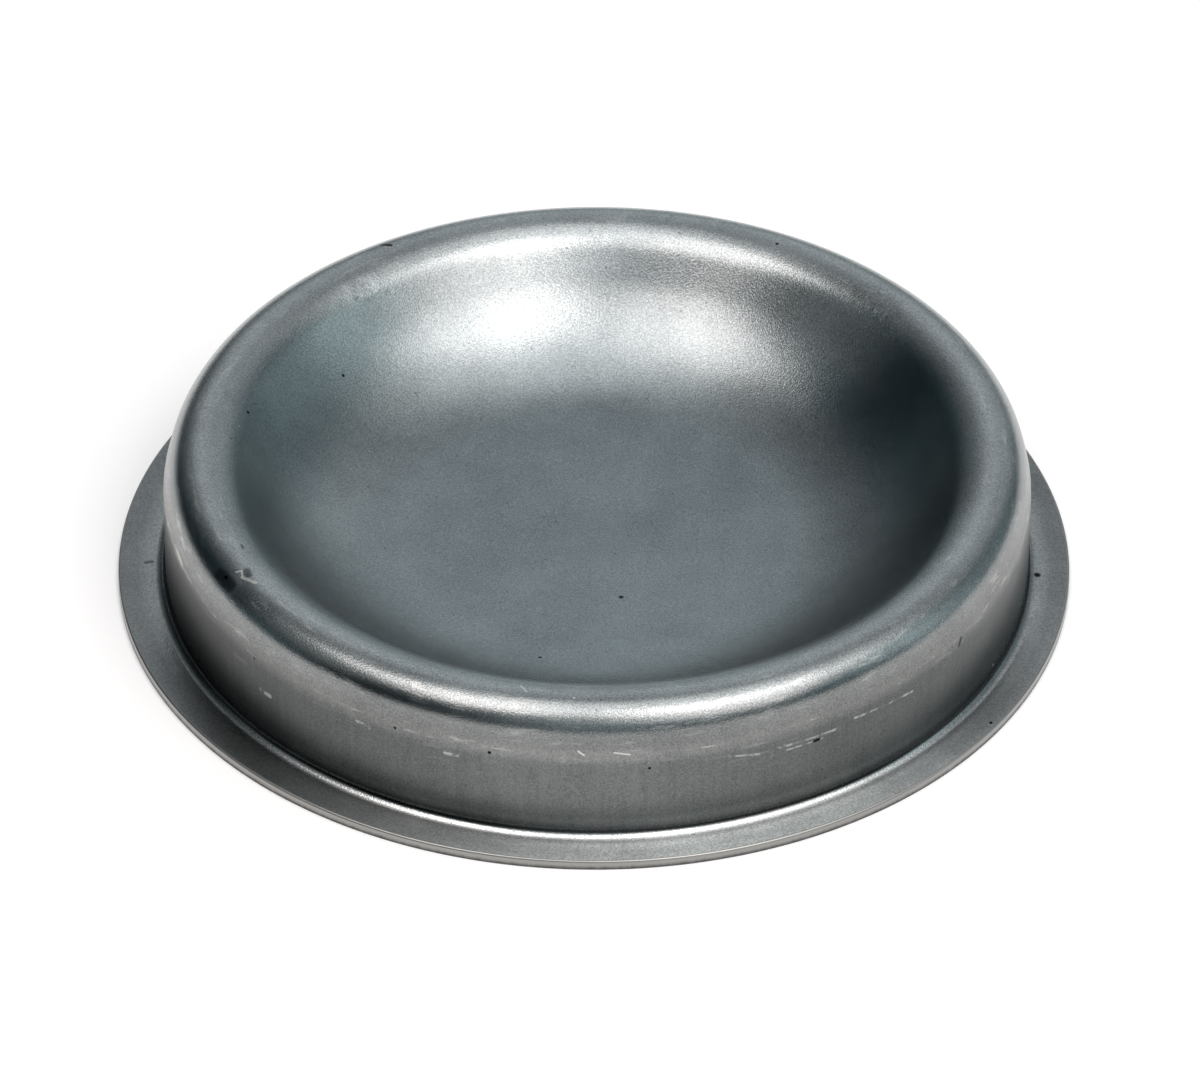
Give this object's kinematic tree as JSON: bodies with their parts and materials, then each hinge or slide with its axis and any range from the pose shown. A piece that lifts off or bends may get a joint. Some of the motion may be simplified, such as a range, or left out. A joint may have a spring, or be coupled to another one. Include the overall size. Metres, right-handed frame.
{
  "type": "grease cup",
  "caption": "Shallow round pressed steel cup with a flat flange, upright skirt, rolled rim and dished middle, which closes a wheel hub and holds grease.",
  "frame": {"origin": "centre of the flange's rest face", "axes": "+Z along the axis of the cup, from the flange to the rim; X and Y are any two directions across, since the cup is round"},
  "size_m": [0.0684, 0.0684, 0.011],
  "materials": {
    "zinc_plated_steel": "zinc-plated sheet steel, satin, with fine scuffs"
  },
  "bodies": {
    "root": {"grease_cup": "zinc_plated_steel"}
  },
  "joints": []
}
